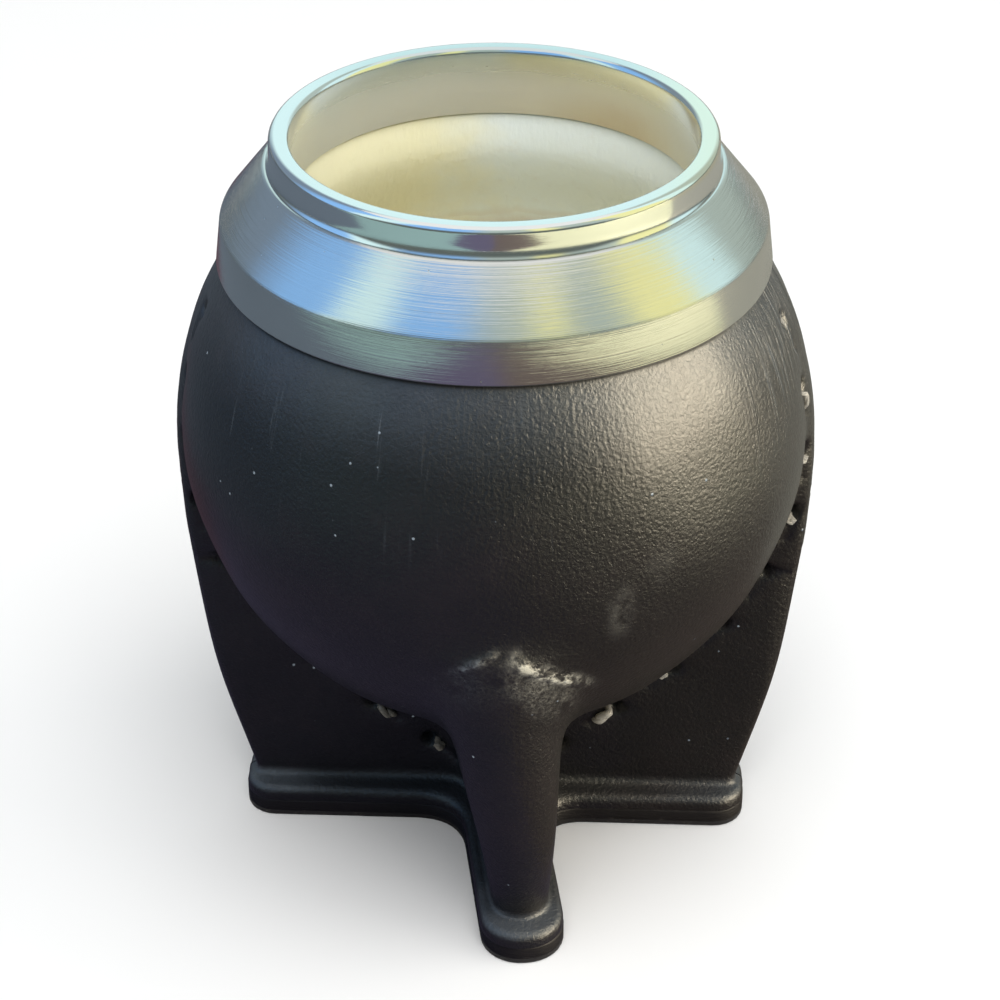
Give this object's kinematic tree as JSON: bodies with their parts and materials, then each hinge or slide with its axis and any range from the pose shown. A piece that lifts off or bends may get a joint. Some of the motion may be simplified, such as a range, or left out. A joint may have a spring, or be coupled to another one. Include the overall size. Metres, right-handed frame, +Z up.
{
  "type": "mate gourd cup",
  "caption": "Round gourd drinking cup in a sewn black leather cover that forms fin-like legs on a cross-shaped sole, with a turned aluminium ferrule around the wide open mouth.",
  "frame": {"origin": "on the floor under the middle of the sole, on the axis of the mouth", "axes": "+Z up along the axis of the mouth, the side seams in the XZ plane, the front leg towards -Y"},
  "size_m": [0.0968, 0.0938, 0.1212],
  "materials": {
    "polished_aluminium": "polished",
    "brushed_aluminium": "brushed round the axis",
    "resin": "cast, hidden",
    "dried_gourd": "dried gourd, stained inside",
    "black_hide": "wet-moulded, fine grain, half gloss",
    "waxed_thread": "waxed",
    "pale_wood": "raw, hidden",
    "sole_hide": "thick hide, dyed edge"
  },
  "bodies": {
    "root": {"mouth_sleeve": "polished_aluminium", "ferrule_collar": "brushed_aluminium", "ferrule_bedding": "resin", "gourd_shell": "dried_gourd", "front_leather_panel": "black_hide", "back_leather_panel": "black_hide", "right_seam_thread": "waxed_thread", "left_seam_thread": "waxed_thread", "keel_board": "pale_wood", "sole": "sole_hide"}
  },
  "joints": []
}
